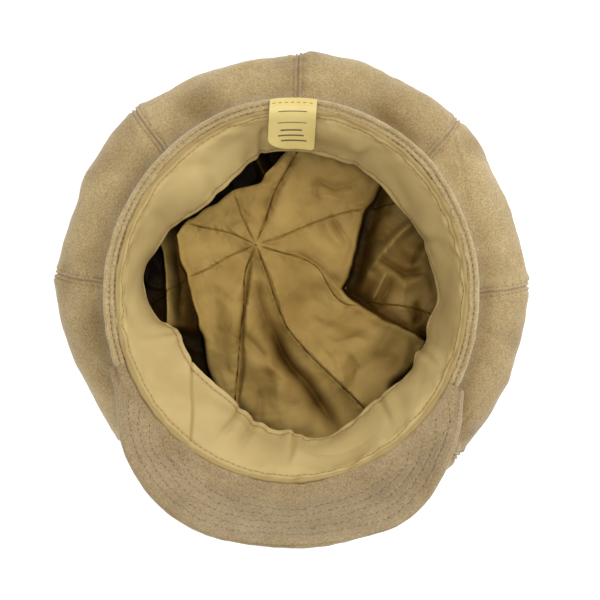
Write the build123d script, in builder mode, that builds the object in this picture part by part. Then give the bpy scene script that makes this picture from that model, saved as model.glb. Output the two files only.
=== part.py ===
from build123d import *
import math
import os

# Eight-panel newsboy cap lying upside down on its crown, in millimetres.
# +Z points out of the head opening, the visor is on the -Y side.

# ---- driving dimensions ------------------------------------------------------
PANEL_COUNT = 8

# head opening, measured over the outside of the rim
RIM_X = 91.8
RIM_Y = 96.9
RIM_HEIGHT = 72.0
BAND_DEPTH = 20.0
RIM_CENTRE_Y = -1.5
CROWN_CENTRE_Y = 2.5

# crown: (height, half width, half length, centre in y) from the floor to the band seam
CROWN_LEVELS = [
    (0.0, 88.0, 88.1, CROWN_CENTRE_Y),
    (1.6, 95.0, 95.1, CROWN_CENTRE_Y),
    (6.0, 103.6, 103.7, CROWN_CENTRE_Y),
    (13.0, 111.4, 111.5, CROWN_CENTRE_Y),
    (20.0, 116.2, 116.3, CROWN_CENTRE_Y),
    (28.0, 118.7, 118.8, CROWN_CENTRE_Y),
    (38.0, 116.6, 117.0, 1.7),
    (46.0, 107.5, 109.5, 0.1),
    (51.7, 94.0, 98.5, RIM_CENTRE_Y),
]
CROWN_CLOTH = 1.2
APEX_HOLE = 1.6
DIMPLE_HEIGHT = 4.4
DIMPLE_MOUTH = 30.0
DIMPLE_SEAT = 11.0

# lining: hangs inside the crown, its top is sewn in at the band
LINING_LEVELS = [
    (10.0, 80.0, 80.1, CROWN_CENTRE_Y),
    (18.0, 100.0, 100.1, CROWN_CENTRE_Y),
    (28.0, 108.0, 108.1, CROWN_CENTRE_Y),
    (38.0, 106.5, 107.0, 1.7),
    (46.0, 98.5, 100.5, 0.1),
    (51.5, 88.5, 93.0, RIM_CENTRE_Y),
]
LINING_CLOTH = 0.5

# rim and band
BAND_CLOTH = 1.2
HEM_WIDTH = 6.0
RIM_ROUNDING = 1.0
INTERLINING_CLOTH = 0.6
INTERLINING_LOW = 53.5
INTERLINING_HIGH = 65.0
ELASTIC_CLOTH = 0.9
ELASTIC_LOW = 54.5
ELASTIC_HIGH = 63.5
ELASTIC_HALF_ANGLE = 22.0
LAYER_GAP = 0.15

# sweatband: a cone that leans in from the rim to its free edge
SWEATBAND_CLOTH = 0.9
SWEATBAND_TOP = 70.6
SWEATBAND_TOP_INSET = 6.2
SWEATBAND_EDGE_X = 73.0
SWEATBAND_EDGE_Y = 70.0
SWEATBAND_EDGE_HEIGHT = 50.0

# visor: (angle from the front, reach in plan, rise), one half, from the middle out
VISOR_STATIONS = [
    (0.0, 18.4, 36.0),
    (12.0, 18.8, 34.4),
    (24.0, 19.2, 29.8),
    (35.0, 16.8, 22.8),
    (45.0, 11.8, 14.4),
    (54.0, 5.6, 6.8),
    (61.0, 2.0, 2.0),
]
VISOR_ROOT_HEIGHT = 70.0
VISOR_GAP = 3.0
BOARD_THICKNESS = 1.7
COVER_CLOTH = 0.8
COVER_GAP = 0.1
BOARD_INSET = 1.2
VISOR_SEAM_INSET = 0.3
VISOR_SEAM_WIDTH = 0.85
VISOR_SEAM_LOW = 69.2
VISOR_SEAM_HIGH = 70.8
VISOR_HALF_ANGLE = 61.0

# self-covered button, its dome faces the floor
BUTTON_RADIUS = 10.0
BUTTON_HEIGHT = 4.3
DOME_RADIUS = 20.5
BUTTON_CLOTH = 0.7
BUTTON_METAL = 0.4
BUTTON_GAP = 0.05
PRONG_RADIUS = 1.2
PRONG_LEAF_LENGTH = 3.6
PRONG_LEAF_WIDTH = 1.4
PRONG_LEAF_THICKNESS = 0.4
WASHER_RADIUS = 7.0
WASHER_THICKNESS = 0.6

# label: lies over the rim at the back and down the sweatband
LABEL_WIDTH = 22.4
LABEL_X = -5.0
LABEL_HALF_CLOTH = 0.2
LABEL_FLAT = 5.0
LABEL_SLOPE_RUN = 19.0
LABEL_LIFT = 0.6
LABEL_FOLD_INSET = 1.2

# size of the wedges that cut the rings and shells into pieces
WEDGE_REACH = 400.0
WEDGE_LOW = -1.0
WEDGE_HEIGHT = 120.0

os.makedirs("parts", exist_ok=True)


# ---- helpers -----------------------------------------------------------------
def finish(builder, name):
    """Label a finished piece and write its STEP file."""
    builder.part.label = name
    export_step(builder.part, f"parts/{name}.step")


def rim_radius(angle_from_front):
    """Distance from the opening's centre to the rim's outside, at an angle from -Y."""
    turn = math.radians(angle_from_front)
    return 1.0 / math.hypot(math.sin(turn) / RIM_X, math.cos(turn) / RIM_Y)


def wedge_corners(first_angle, last_angle):
    """A triangle from the origin that covers the sector between two angles."""
    corners = [(0, 0)]
    for angle in (first_angle, last_angle):
        turn = math.radians(angle)
        corners.append((WEDGE_REACH * math.cos(turn), WEDGE_REACH * math.sin(turn)))
    return corners


def ellipse_stack(levels):
    """Smooth solid through a stack of ellipses, one for each level."""
    with BuildPart() as stack:
        for height, half_x, half_y, centre_y in levels:
            with BuildSketch(Plane.XY.offset(height)):
                with Locations((0, centre_y)):
                    Ellipse(half_x, half_y)
        loft()
    return stack.part


def rim_ring(outside, inside, low, high):
    """Upright elliptical ring; outside and inside are offsets from the rim's outside."""
    with BuildPart() as ring:
        with BuildSketch(Plane.XY.offset(low)):
            with Locations((0, RIM_CENTRE_Y)):
                Ellipse(RIM_X + outside, RIM_Y + outside)
                Ellipse(RIM_X + inside, RIM_Y + inside, mode=Mode.SUBTRACT)
        extrude(amount=high - low)
    return ring.part


def sector(centre_y, first_angle, last_angle):
    """Tall wedge between two angles about the crown's or the opening's centre."""
    with BuildPart() as wedge:
        with BuildSketch(Plane.XY.offset(WEDGE_LOW)):
            with Locations((0, centre_y)):
                Polygon(wedge_corners(first_angle, last_angle), align=None)
        extrude(amount=WEDGE_HEIGHT)
    return wedge.part


# ---- crown shell and its eight panels ------------------------------------------
crown_outside = ellipse_stack(CROWN_LEVELS)
lining_outside = ellipse_stack(LINING_LEVELS)

with BuildPart() as crown_shell:
    add(crown_outside)
    # the crown is pushed in around the button that it stands on
    with BuildSketch():
        with Locations((0, CROWN_CENTRE_Y)):
            Circle(DIMPLE_MOUTH)
    with BuildSketch(Plane.XY.offset(DIMPLE_HEIGHT)):
        with Locations((0, CROWN_CENTRE_Y)):
            Circle(DIMPLE_SEAT)
    loft(mode=Mode.SUBTRACT)
    offset(amount=-CROWN_CLOTH, openings=crown_shell.faces().sort_by(Axis.Z)[-1])
    with Locations((0, CROWN_CENTRE_Y, 0)):
        Cylinder(APEX_HOLE, WEDGE_HEIGHT, mode=Mode.SUBTRACT)

with BuildPart() as lining_shell:
    add(lining_outside)
    offset(amount=-LINING_CLOTH, openings=lining_shell.faces().sort_by(Axis.Z)[-1])

PANEL_ANGLE = 360.0 / PANEL_COUNT
for number in range(PANEL_COUNT):
    start = 90.0 + number * PANEL_ANGLE
    gore = sector(CROWN_CENTRE_Y, start, start + PANEL_ANGLE)
    with BuildPart() as crown_panel:
        add(crown_shell.part)
        add(gore, mode=Mode.INTERSECT)
    finish(crown_panel, f"crown_panel_{number + 1}")
    with BuildPart() as lining_panel:
        add(lining_shell.part)
        add(gore, mode=Mode.INTERSECT)
    finish(lining_panel, f"lining_panel_{number + 1}")

# ---- button --------------------------------------------------------------------
button_plane = Plane((0, CROWN_CENTRE_Y, 0), x_dir=(1, 0, 0), z_dir=(0, -1, 0))
button_axis = Axis((0, CROWN_CENTRE_Y, 0), (0, 0, 1))
dome_inside = BUTTON_CLOTH + BUTTON_GAP
shell_radius = BUTTON_RADIUS - BUTTON_CLOTH - BUTTON_GAP


def dome_rise(radius, shift=0.0):
    """Point on the button's shallow dome at a radius, moved up by shift."""
    return (radius, DOME_RADIUS - math.sqrt(DOME_RADIUS**2 - radius**2) + shift)


with BuildPart() as button_cover:
    with BuildSketch(button_plane):
        with BuildLine():
            outside = dome_rise(BUTTON_RADIUS)
            inside = dome_rise(shell_radius, dome_inside)
            ThreePointArc((0, 0), dome_rise(BUTTON_RADIUS / 2), outside)
            Polyline(outside, (BUTTON_RADIUS, BUTTON_HEIGHT), (shell_radius, BUTTON_HEIGHT), inside)
            ThreePointArc(inside, dome_rise(shell_radius / 2, dome_inside), (0, dome_inside))
            Line((0, dome_inside), (0, 0))
        make_face()
    revolve(axis=button_axis)
finish(button_cover, "button_cover")

metal_outside = shell_radius - BUTTON_GAP
metal_inside = metal_outside - BUTTON_METAL
metal_low = dome_inside + BUTTON_GAP
metal_high = metal_low + BUTTON_METAL

with BuildPart() as button_shell:
    with BuildSketch(button_plane):
        with BuildLine():
            outside = dome_rise(metal_outside, metal_low)
            inside = dome_rise(metal_inside, metal_high)
            ThreePointArc((0, metal_low), dome_rise(metal_outside / 2, metal_low), outside)
            Polyline(outside, (metal_outside, BUTTON_HEIGHT), (metal_inside, BUTTON_HEIGHT), inside)
            ThreePointArc(inside, dome_rise(metal_inside / 2, metal_high), (0, metal_high))
            Line((0, metal_high), (0, metal_low))
        make_face()
    revolve(axis=button_axis)
finish(button_shell, "button_shell")

back_low = BUTTON_HEIGHT - BUTTON_METAL
back_radius = metal_inside - BUTTON_GAP
washer_low = DIMPLE_HEIGHT + CROWN_CLOTH + BUTTON_GAP
leaf_low = washer_low + WASHER_THICKNESS + BUTTON_GAP

with BuildPart() as button_back:
    with BuildSketch(Plane.XY.offset(back_low)):
        with Locations((0, CROWN_CENTRE_Y)):
            Circle(back_radius)
    extrude(amount=BUTTON_METAL)
    with BuildSketch(Plane.XY.offset(back_low)):
        with Locations((0, CROWN_CENTRE_Y)):
            Circle(PRONG_RADIUS)
    extrude(amount=leaf_low + PRONG_LEAF_THICKNESS - back_low)
    # the prong's four leaves are bent flat over the washer
    with BuildSketch(Plane.XY.offset(leaf_low)):
        with Locations((0, CROWN_CENTRE_Y)):
            Rectangle(2 * PRONG_LEAF_LENGTH, PRONG_LEAF_WIDTH)
            Rectangle(PRONG_LEAF_WIDTH, 2 * PRONG_LEAF_LENGTH)
    extrude(amount=PRONG_LEAF_THICKNESS)
finish(button_back, "button_back")

with BuildPart() as button_washer:
    with BuildSketch(Plane.XY.offset(washer_low)):
        with Locations((0, CROWN_CENTRE_Y)):
            Circle(WASHER_RADIUS)
            Circle(PRONG_RADIUS + BUTTON_GAP, mode=Mode.SUBTRACT)
    extrude(amount=WASHER_THICKNESS)
finish(button_washer, "button_washer")

# ---- band ----------------------------------------------------------------------
band_wall = rim_ring(0, -BAND_CLOTH, RIM_HEIGHT - BAND_DEPTH, RIM_HEIGHT)
band_hem = rim_ring(0, -HEM_WIDTH, RIM_HEIGHT - BAND_CLOTH, RIM_HEIGHT)
with BuildPart() as outer_band:
    add(band_wall)
    add(band_hem)
    rim_edge = outer_band.faces().sort_by(Axis.Z)[-1].edges().sort_by(SortBy.LENGTH)[-1]
    fillet(rim_edge, radius=RIM_ROUNDING)
finish(outer_band, "outer_band")

interlining_outside = -BAND_CLOTH - LAYER_GAP
interlining_inside = interlining_outside - INTERLINING_CLOTH
interlining_ring = rim_ring(
    interlining_outside, interlining_inside, INTERLINING_LOW, INTERLINING_HIGH
)
with BuildPart() as band_interlining:
    add(interlining_ring)
finish(band_interlining, "band_interlining")

elastic_outside = interlining_inside - LAYER_GAP
elastic_inside = elastic_outside - ELASTIC_CLOTH
elastic_ring = rim_ring(elastic_outside, elastic_inside, ELASTIC_LOW, ELASTIC_HIGH)
back_sector = sector(RIM_CENTRE_Y, 90 - ELASTIC_HALF_ANGLE, 90 + ELASTIC_HALF_ANGLE)
with BuildPart() as back_elastic:
    add(elastic_ring)
    add(back_sector, mode=Mode.INTERSECT)
finish(back_elastic, "back_elastic")

sweatband_top_x = RIM_X - SWEATBAND_TOP_INSET
sweatband_top_y = RIM_Y - SWEATBAND_TOP_INSET
with BuildPart() as sweatband:
    for shrink, mode in ((0.0, Mode.ADD), (SWEATBAND_CLOTH, Mode.SUBTRACT)):
        with BuildSketch(Plane.XY.offset(SWEATBAND_EDGE_HEIGHT)):
            with Locations((0, RIM_CENTRE_Y)):
                Ellipse(SWEATBAND_EDGE_X - shrink, SWEATBAND_EDGE_Y - shrink, rotation=90)
        with BuildSketch(Plane.XY.offset(SWEATBAND_TOP)):
            with Locations((0, RIM_CENTRE_Y)):
                Ellipse(sweatband_top_x - shrink, sweatband_top_y - shrink)
        loft(mode=mode)
finish(sweatband, "sweatband")


# ---- visor ---------------------------------------------------------------------
def visor_plane(angle):
    """Upright plane through the opening's centre; its x is outwards and its y is up."""
    turn = math.radians(angle)
    outwards = Vector(math.sin(turn), -math.cos(turn), 0)
    return Plane((0, RIM_CENTRE_Y, 0), x_dir=outwards, z_dir=outwards.cross(Vector(0, 0, 1)))


def visor_frame(station):
    """Root point, unit vector along the visor, unit vector out of its seen face, length."""
    angle, reach, rise = station
    root = Vector(rim_radius(angle) + VISOR_GAP, VISOR_ROOT_HEIGHT)
    length = math.hypot(reach, rise)
    along = Vector(reach / length, rise / length)
    return root, along, Vector(-along.Y, along.X), length


def visor_layer(outline):
    """Loft one layer of the visor; outline(length) gives its (along, out) corners."""
    mirrored = [(-angle, reach, rise) for angle, reach, rise in VISOR_STATIONS[:0:-1]]
    with BuildPart() as layer:
        for station in mirrored + VISOR_STATIONS:
            root, along, out, length = visor_frame(station)
            corners = [root + along * a + out * b for a, b in outline(length)]
            with BuildSketch(visor_plane(station[0])):
                Polygon([(corner.X, corner.Y) for corner in corners], align=None)
        loft()
    return layer.part


half_board = BOARD_THICKNESS / 2
cover_near = half_board + COVER_GAP
cover_far = cover_near + COVER_CLOTH


def board_outline(length):
    """Stiff board, short of the visor's edge by the turned cloth."""
    end = length - BOARD_INSET
    return [(0, -half_board), (end, -half_board), (end, half_board), (0, half_board)]


def under_cover_outline(length):
    """Cloth on the face that is seen from the opening's side."""
    return [(0, cover_near), (length, cover_near), (length, cover_far), (0, cover_far)]


def top_cover_outline(length):
    """Cloth on the crown's side, turned up around the board's outer edge."""
    lip = length - BOARD_INSET + COVER_GAP
    return [
        (0, -cover_far),
        (length, -cover_far),
        (length, half_board),
        (lip, half_board),
        (lip, -cover_near),
        (0, -cover_near),
    ]


board_layer = visor_layer(board_outline)
with BuildPart() as visor_board:
    add(board_layer)
finish(visor_board, "visor_board")

under_layer = visor_layer(under_cover_outline)
with BuildPart() as visor_under_cover:
    add(under_layer)
finish(visor_under_cover, "visor_under_cover")

top_layer = visor_layer(top_cover_outline)
with BuildPart() as visor_top_cover:
    add(top_layer)
finish(visor_top_cover, "visor_top_cover")

seam_outside = VISOR_SEAM_INSET + VISOR_SEAM_WIDTH
seam_ring = rim_ring(seam_outside, VISOR_SEAM_INSET, VISOR_SEAM_LOW, VISOR_SEAM_HIGH)
front_sector = sector(RIM_CENTRE_Y, 270 - VISOR_HALF_ANGLE, 270 + VISOR_HALF_ANGLE)
with BuildPart() as visor_seam:
    add(seam_ring)
    add(front_sector, mode=Mode.INTERSECT)
finish(visor_seam, "visor_seam")

# ---- label ---------------------------------------------------------------------
with BuildPart() as label:
    rim_back = RIM_CENTRE_Y + RIM_Y
    fold_y = rim_back - HEM_WIDTH - LABEL_FOLD_INSET
    label_low = RIM_HEIGHT + LABEL_LIFT
    slope_run_y = sweatband_top_y - SWEATBAND_EDGE_Y
    slope_drop = (SWEATBAND_TOP - SWEATBAND_EDGE_HEIGHT) / slope_run_y * LABEL_SLOPE_RUN
    with BuildSketch(Plane.YZ.offset(LABEL_X - LABEL_WIDTH / 2)):
        with BuildLine():
            Polyline(
                (fold_y + LABEL_FLAT, label_low),
                (fold_y, label_low),
                (fold_y - LABEL_SLOPE_RUN, label_low - slope_drop),
            )
            offset(amount=LABEL_HALF_CLOTH, side=Side.BOTH)
        make_face()
    extrude(amount=LABEL_WIDTH)
finish(label, "label")
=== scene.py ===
import math

import bpy
import numpy as np
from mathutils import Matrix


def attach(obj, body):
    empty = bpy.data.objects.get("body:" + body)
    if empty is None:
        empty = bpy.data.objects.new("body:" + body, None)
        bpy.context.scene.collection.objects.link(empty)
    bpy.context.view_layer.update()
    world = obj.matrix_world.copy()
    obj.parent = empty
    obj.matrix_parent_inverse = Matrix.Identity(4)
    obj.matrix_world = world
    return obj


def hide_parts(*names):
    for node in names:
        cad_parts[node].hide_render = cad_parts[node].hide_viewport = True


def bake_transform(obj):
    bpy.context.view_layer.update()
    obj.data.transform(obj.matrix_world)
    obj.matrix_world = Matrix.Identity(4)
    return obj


# Eight-panel newsboy cap lying upside down on its crown. Sizes here are in millimetres and
# angles in degrees, counted anticlockwise from +X as seen from above; MM turns them to metres.
MM = 0.001

# ---- sizes shared with the CAD part --------------------------------------------
RIM_X = 91.8
RIM_Y = 96.9
RIM_CENTRE = (0.0, -1.5)
CROWN_CENTRE = (0.0, 2.5)
SEAM_ANGLES = (92.0, 135.0, 180.0, 226.0, 270.0, 318.0, 364.0, 409.0, 452.0)
LINING_APEX = (-20.0, 24.5)


# ---- small maths ----------------------------------------------------------------
def smooth(value, low, high):
    """0 below low, 1 above high, and a smooth step between them."""
    share = np.clip((value - low) / (high - low), 0.0, 1.0)
    return share * share * (3.0 - 2.0 * share)


def bump(value, width):
    """A soft bump of height 1 around 0."""
    return np.exp(-((value / width) ** 2))


def angle_gap(angle, other):
    """Smallest signed turn from other to angle."""
    return (angle - other + 180.0) % 360.0 - 180.0


def curve(rows, at, period=None):
    """Smooth curve through rows of (place, value, ...), read at the given places."""
    table = np.array(rows, float)
    at = np.asarray(at, float)
    if period:
        shift = np.zeros(table.shape[1])
        shift[0] = period
        table = np.vstack([table[-2:] - shift, table, table[:2] + shift])
        at = (at - rows[0][0]) % period + rows[0][0]
    places, values = table[:, 0], table[:, 1:]
    slopes = np.gradient(values, places, axis=0)
    left = np.clip(np.searchsorted(places, at, side="right") - 1, 0, len(places) - 2)
    span = (places[left + 1] - places[left])[..., None]
    t = ((at - places[left]) / span[..., 0])[..., None]
    rest = 1.0 - t
    start = values[left] * (1 + 2 * t) * rest**2 + slopes[left] * span * t * rest**2
    end = values[left + 1] * (3 - 2 * t) * t**2 - slopes[left + 1] * span * rest * t**2
    found = start + end
    return found[..., 0] if found.shape[-1] == 1 else found


def ripple(points, size, seed):
    """Smooth noise around 0, about 1 high, with waves about size long."""
    chance = np.random.default_rng(seed)
    count = 16
    ways = chance.normal(size=(count, 3))
    ways /= np.linalg.norm(ways, axis=1)[:, None]
    lengths = size * chance.uniform(0.7, 1.7, count)
    phases = chance.uniform(0, 2 * math.pi, count)
    total = np.zeros(points.shape[:-1])
    for way, length, phase in zip(ways, lengths, phases):
        total += np.sin(2 * math.pi * (points @ way) / length + phase)
    return total / math.sqrt(count / 2)


def bent(points, size, amount, seed):
    """The points pushed about by slow noise, so that noise read there looks less regular."""
    pushed = points.copy()
    for axis in range(3):
        pushed[..., axis] += amount * ripple(points, size, seed + axis)
    return pushed


def creases(points, size, seed, sharp=0.22):
    """Thin winding lines, 1 on a line and 0 away from it."""
    return bump(ripple(bent(points, size * 1.6, size * 0.35, seed), size, seed + 7), sharp)


def nearest(points, line):
    """Signed distance to a polyline (plus on its left) and the share of the way along it."""
    line = np.array(line, float)
    steps = np.linalg.norm(np.diff(line, axis=0), axis=1)
    reached = np.concatenate([[0.0], np.cumsum(steps)])
    best = np.full(points.shape[:-1], 1e9)
    place = np.zeros(points.shape[:-1])
    for index, (a, b) in enumerate(zip(line[:-1], line[1:])):
        along = b - a
        share = np.clip(((points - a) @ along) / (along @ along), 0.0, 1.0)
        off = points - a - share[..., None] * along
        size = np.hypot(off[..., 0], off[..., 1])
        side = np.where(along[0] * off[..., 1] - along[1] * off[..., 0] >= 0, 1.0, -1.0)
        nearer = size < np.abs(best)
        best = np.where(nearer, size * side, best)
        place = np.where(nearer, reached[index] + share * steps[index], place)
    return best, place / reached[-1]


def inside(points, corners):
    """Distance to a closed outline, plus inside it."""
    loop = np.array(list(corners) + [corners[0]], float)
    gap, _ = nearest(points, loop)
    within = np.zeros(points.shape[:-1], bool)
    x, y = points[..., 0], points[..., 1]
    for (ax, ay), (bx, by) in zip(loop[:-1], loop[1:]):
        if ay != by:
            crosses = (ay > y) != (by > y)
            within ^= crosses & (x < (bx - ax) * (y - ay) / (by - ay) + ax)
    return np.where(within, np.abs(gap), -np.abs(gap))


def fold(points, line, height, left, right, fade=0.15, power=2.0):
    """Ridge, or with a minus height a valley, along a polyline; a lower power is sharper."""
    gap, place = nearest(points, line)
    width = np.where(gap > 0, left, right)
    ends = smooth(place, -0.02, fade) * smooth(1.0 - place, -0.02, fade)
    return height * np.exp(-(np.abs(gap / width) ** power)) * ends


def rim_radius(angle):
    """Distance from the opening's centre to the rim's outside."""
    turn = np.radians(angle)
    return 1.0 / np.hypot(np.cos(turn) / RIM_X, np.sin(turn) / RIM_Y)


def around(centre, radius, angle, height):
    """Points from a centre, a radius, an angle and a height."""
    turn = np.radians(angle)
    x = centre[0] + radius * np.cos(turn)
    y = centre[1] + radius * np.sin(turn)
    return np.stack(np.broadcast_arrays(x, y, height), axis=-1)


# ---- mesh building --------------------------------------------------------------
def make_object(name, points, faces, material):
    """Mesh object from points in mm; its faces are turned to look outwards."""
    corners = np.array([face[:3] for face in faces])
    a, b, c = points[corners[:, 0]], points[corners[:, 1]], points[corners[:, 2]]
    if np.einsum("ij,ij->i", a, np.cross(b, c)).sum() < 0:
        faces = [face[::-1] for face in faces]
    mesh = bpy.data.meshes.new(name)
    mesh.from_pydata((points * MM).tolist(), [], faces)
    mesh.polygons.foreach_set("use_smooth", [True] * len(faces))
    mesh.materials.append(material)
    mesh.update()
    made = bpy.data.objects.new(name, mesh)
    bpy.context.scene.collection.objects.link(made)
    return made


def quads(index):
    """Four-cornered faces over a grid of vertex numbers."""
    a, b = index[:-1, :-1], index[:-1, 1:]
    c, d = index[1:, 1:], index[1:, :-1]
    return np.stack([a, b, c, d], axis=-1).reshape(-1, 4)


def normals_of(grid, wrap):
    """Unit normals of a grid of points; wrap if the columns close into a ring."""
    along = np.gradient(grid, axis=0)
    if wrap:
        across = np.roll(grid, -1, axis=1) - np.roll(grid, 1, axis=1)
    else:
        across = np.gradient(grid, axis=1)
    normal = np.cross(along, across)
    size = np.linalg.norm(normal, axis=-1, keepdims=True)
    return normal / np.maximum(size, 1e-9)


UP = (0.0, 0.0, 1.0)
DOWN = (0.0, 0.0, -1.0)


def sign_towards(grid, row, column, outward, wrap=False):
    """1 if the grid's own normals point outward, judged at one place, or -1 if inward."""
    own = normals_of(grid, wrap)[row, column]
    return 1.0 if own @ np.array(outward) > 0 else -1.0


def cloth(name, grid, thickness, material, wrap=False):
    """Sheet with a back layer and closed edges; a minus thickness puts the back on the other side."""
    rows, columns = grid.shape[:2]
    back = grid - normals_of(grid, wrap) * thickness
    points = np.vstack([grid.reshape(-1, 3), back.reshape(-1, 3)])
    index = np.arange(rows * columns).reshape(rows, columns)
    if wrap:
        index = np.hstack([index, index[:, :1]])
    other = index + rows * columns
    faces = [quads(index), quads(other)[:, ::-1]]
    faces.append(quads(np.vstack([other[0], index[0]])))
    faces.append(quads(np.vstack([index[-1], other[-1]])))
    if not wrap:
        faces.append(quads(np.vstack([index[:, 0], other[:, 0]])))
        faces.append(quads(np.vstack([other[:, -1], index[:, -1]])))
    return make_object(name, points, np.vstack(faces).tolist(), material)


def keep_painted_shade(piece, light):
    """Store painted shade in a sheet's mesh: how light each point is drawn, for its material."""
    kept = piece.data.attributes.new("painted_lightness", "FLOAT", "POINT")
    kept.data.foreach_set("value", np.tile(light.ravel(), 2).astype(np.float32))


def ring(name, grid, material):
    """Solid ring from a grid whose rows and columns both close."""
    rows, columns = grid.shape[:2]
    index = np.arange(rows * columns).reshape(rows, columns)
    index = np.vstack([index, index[:1]])
    index = np.hstack([index, index[:, :1]])
    return make_object(name, grid.reshape(-1, 3), quads(index).tolist(), material)


THREAD_CLEARANCE = 0.35
STITCH_LIFT = (-0.3, 0.06, 0.14, 0.06, -0.3)
STITCH_TAPER = (0.7, 1.0, 1.0, 1.0, 0.7)


def stitches(name, rows, material, length=2.1, gap=0.9, radius=0.15):
    """Sewn thread along rows of (path points, surface normals): one short tube per stitch."""
    sides = 6
    points, faces, count = [], [], 0
    turns = np.linspace(0, 2 * math.pi, sides, endpoint=False)
    for path, up in rows:
        reached = np.concatenate([[0], np.cumsum(np.linalg.norm(np.diff(path, axis=0), axis=1))])
        starts = np.arange(gap / 2, reached[-1] - length, length + gap)
        if len(starts) == 0:
            continue

        def at(values, places):
            return np.stack([np.interp(places, reached, values[:, k]) for k in range(3)], axis=-1)

        ahead = at(path, starts + length) - at(path, starts)
        ahead /= np.linalg.norm(ahead, axis=1)[:, None]
        rise = at(up, starts + length / 2)
        rise /= np.linalg.norm(rise, axis=1)[:, None]
        aside = np.cross(ahead, rise)
        rings = []
        for step, (lift, taper) in enumerate(zip(STITCH_LIFT, STITCH_TAPER)):
            centre = at(path, starts + length * step / 4) + rise * lift
            spokes = [aside * math.cos(t) + rise * math.sin(t) for t in turns]
            rings.append(np.stack([centre + s * radius * taper for s in spokes], axis=1))
        block = np.stack(rings, axis=1)
        number = len(starts)
        index = count + np.arange(number * 5 * sides).reshape(number, 5, sides)
        for stitch in index:
            closed = np.hstack([stitch, stitch[:, :1]])
            faces.extend(quads(closed)[:, ::-1].tolist())
            faces.append(stitch[0].tolist())
            faces.append(stitch[-1][::-1].tolist())
        points.append(block.reshape(-1, 3))
        count += number * 5 * sides
    return make_object(name, np.vstack(points), faces, material)


# ---- materials ------------------------------------------------------------------
def linear(red, green, blue):
    """Colour picked as 0 to 255 values, for a shader."""
    parts = [v / 255.0 for v in (red, green, blue)]
    return [v / 12.92 if v <= 0.04045 else ((v + 0.055) / 1.055) ** 2.4 for v in parts] + [1.0]


def new_material(name):
    """Material with a bare Principled shader; returns it, its nodes, links and shader."""
    material = bpy.data.materials.new(name)
    material.use_nodes = True
    nodes, links = material.node_tree.nodes, material.node_tree.links
    return material, nodes, links, nodes["Principled BSDF"]


def noise(nodes, links, place, scale, detail, rough=0.5):
    """Noise texture read at the object's own coordinates."""
    made = nodes.new("ShaderNodeTexNoise")
    made.inputs["Scale"].default_value = scale
    made.inputs["Detail"].default_value = detail
    made.inputs["Roughness"].default_value = rough
    links.new(place.outputs["Object"], made.inputs["Vector"])
    return made


def two_tone(nodes, links, source, low, high, dark, light):
    """Colour ramp from dark to light over a noise texture's range."""
    ramp = nodes.new("ShaderNodeValToRGB")
    ramp.color_ramp.elements[0].position = low
    ramp.color_ramp.elements[1].position = high
    ramp.color_ramp.elements[0].color = dark
    ramp.color_ramp.elements[1].color = light
    links.new(source.outputs["Fac"], ramp.inputs["Fac"])
    return ramp


def mixed(nodes, links, first, second, mode, amount):
    """Two colour outputs mixed with a blend mode."""
    mix = nodes.new("ShaderNodeMixRGB")
    mix.blend_type = mode
    mix.inputs["Fac"].default_value = amount
    links.new(first, mix.inputs["Color1"])
    links.new(second, mix.inputs["Color2"])
    return mix


def relief(nodes, links, shader, source, strength, depth):
    """Fine bump from a noise texture."""
    made = nodes.new("ShaderNodeBump")
    made.inputs["Strength"].default_value = strength
    made.inputs["Distance"].default_value = depth
    links.new(source.outputs["Fac"], made.inputs["Height"])
    links.new(made.outputs["Normal"], shader.inputs["Normal"])


def painted_shade_colour(nodes, links, colour):
    """The colour with painted shade: darkened and warmed where the mesh's stored values say less
    light gets in.
    """
    kept = nodes.new("ShaderNodeAttribute")
    kept.attribute_name = "painted_lightness"
    # painted shade colours: near black in the deepest shade, warm tan in half shade, full colour in
    # the light
    shade_ramp = two_tone(nodes, links, kept, 0.0, 1.0, linear(10, 6, 2), linear(255, 255, 255))
    middle = shade_ramp.color_ramp.elements.new(0.45)
    middle.color = linear(166, 148, 110)
    return mixed(nodes, links, colour, shade_ramp.outputs["Color"], "MULTIPLY", 1.0).outputs["Color"]


def suede(name, dark, light, painted_shade_on=False):
    """Brushed cloth: blotchy tone, short nap and a soft bloom at grazing angles."""
    material, nodes, links, shader = new_material(name)
    place = nodes.new("ShaderNodeTexCoord")
    blotches = noise(nodes, links, place, 38.0, 6.0, 0.62)
    nap = noise(nodes, links, place, 1100.0, 4.0, 0.75)
    tone = two_tone(nodes, links, blotches, 0.3, 0.7, dark, light)
    grain = two_tone(nodes, links, nap, 0.36, 0.64, linear(186, 183, 176), linear(255, 255, 255))
    mix = mixed(nodes, links, tone.outputs["Color"], grain.outputs["Color"], "MULTIPLY", 0.85)
    colour = mix.outputs["Color"]
    # painted shade from the mesh's stored values, when asked for
    if painted_shade_on:
        colour = painted_shade_colour(nodes, links, colour)
    links.new(colour, shader.inputs["Base Color"])
    relief(nodes, links, shader, nap, 0.35, 0.0006)
    shader.inputs["Roughness"].default_value = 0.95
    shader.inputs["Specular IOR Level"].default_value = 0.15
    shader.inputs["Sheen Weight"].default_value = 0.25
    shader.inputs["Sheen Roughness"].default_value = 0.6
    return material


def cotton(name, dark, light, rough, shine, painted_shade_on=False):
    """Plain woven cotton with a fine thread relief; the last flag multiplies in painted shade from
    the mesh's own values.
    """
    material, nodes, links, shader = new_material(name)
    place = nodes.new("ShaderNodeTexCoord")
    patches = noise(nodes, links, place, 40.0, 3.0)
    threads = noise(nodes, links, place, 2600.0, 2.0)
    tone = two_tone(nodes, links, patches, 0.35, 0.65, dark, light)
    colour = tone.outputs["Color"]
    if painted_shade_on:
        colour = painted_shade_colour(nodes, links, colour)
    links.new(colour, shader.inputs["Base Color"])
    relief(nodes, links, shader, threads, 0.25, 0.0002)
    shader.inputs["Roughness"].default_value = rough
    shader.inputs["Specular IOR Level"].default_value = shine
    return material


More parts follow.
